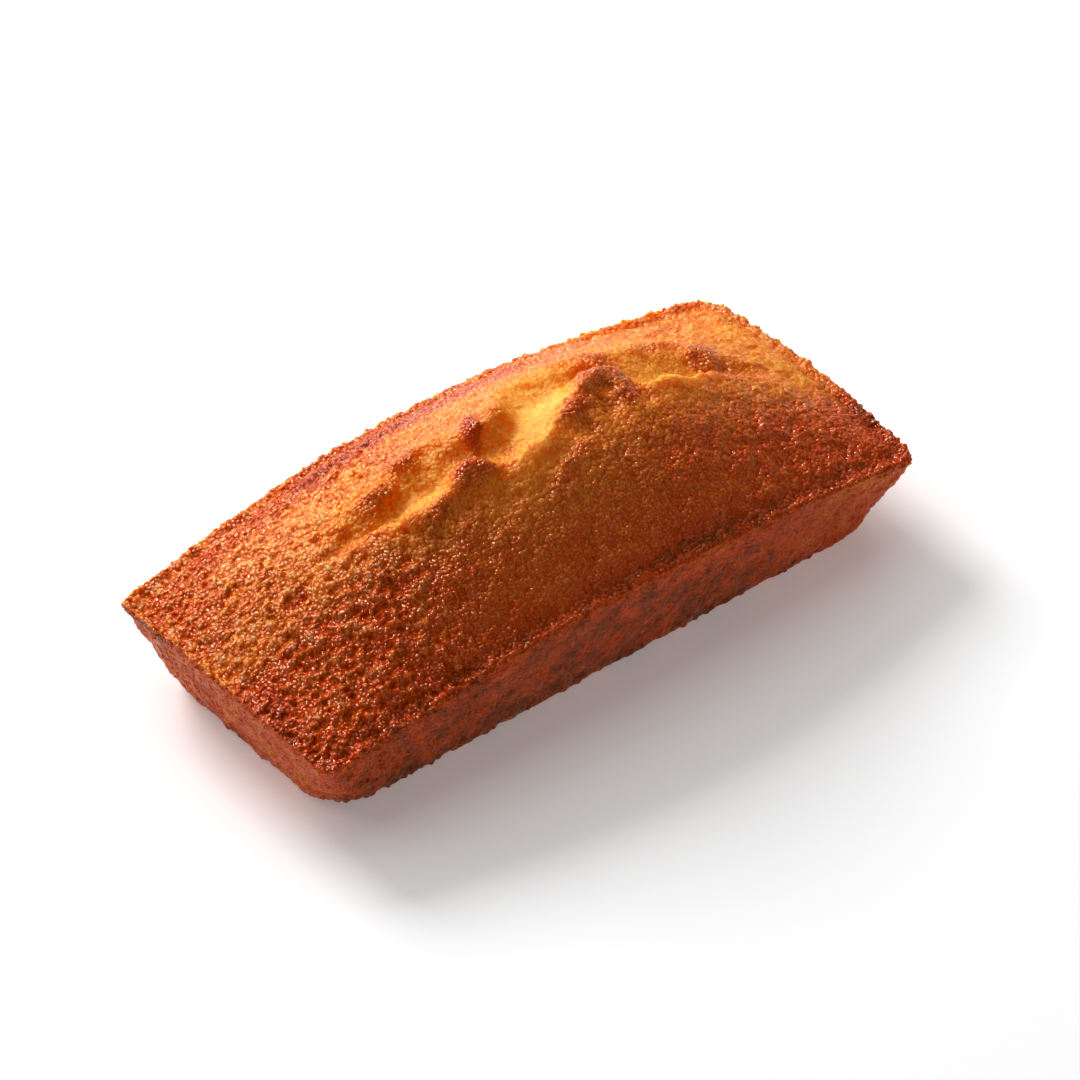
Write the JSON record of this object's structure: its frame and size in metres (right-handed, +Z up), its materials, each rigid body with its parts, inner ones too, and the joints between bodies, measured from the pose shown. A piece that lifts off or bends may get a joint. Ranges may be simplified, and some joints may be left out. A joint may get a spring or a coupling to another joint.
{
  "type": "financier cake",
  "caption": "Small rectangular almond cake with flared tin-baked walls, a thin browned rim lip and a domed top split along its crown.",
  "frame": {"origin": "centre of the flat base the cake stands on", "axes": "+X along the cake's length, +Y across its width, +Z up towards the crown"},
  "size_m": [0.0858, 0.0406, 0.0264],
  "materials": {
    "crust": "buttery browned almond crust, satin, with a golden split"
  },
  "bodies": {
    "root": {"financier_cake": "crust"}
  },
  "joints": []
}
